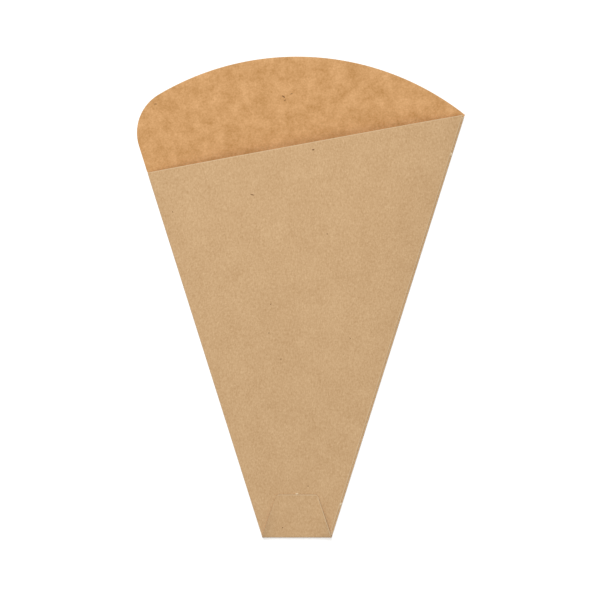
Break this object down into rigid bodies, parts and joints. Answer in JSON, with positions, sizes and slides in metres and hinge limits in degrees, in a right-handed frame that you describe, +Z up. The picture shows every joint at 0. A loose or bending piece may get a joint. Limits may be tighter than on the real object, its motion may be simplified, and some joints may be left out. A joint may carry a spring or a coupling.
{
  "type": "crepe bag",
  "caption": "Flat cone-shaped pocket for a crepe, folded from one sheet of kraft board, with an arched back above a slanting front edge and a bottom tab turned up over the front",
  "frame": {"origin": "middle of the footprint, on the surface that the bag lies on", "axes": "+Y along the bag from the bottom fold to the mouth, +X across it from the left fold to the pasted seam, +Z up from the back panel to the front panel"},
  "size_m": [0.1636, 0.24, 0.0063],
  "materials": {
    "kraft_board": "matte"
  },
  "bodies": {
    "root": {"crepe_bag": "kraft_board"}
  },
  "joints": []
}
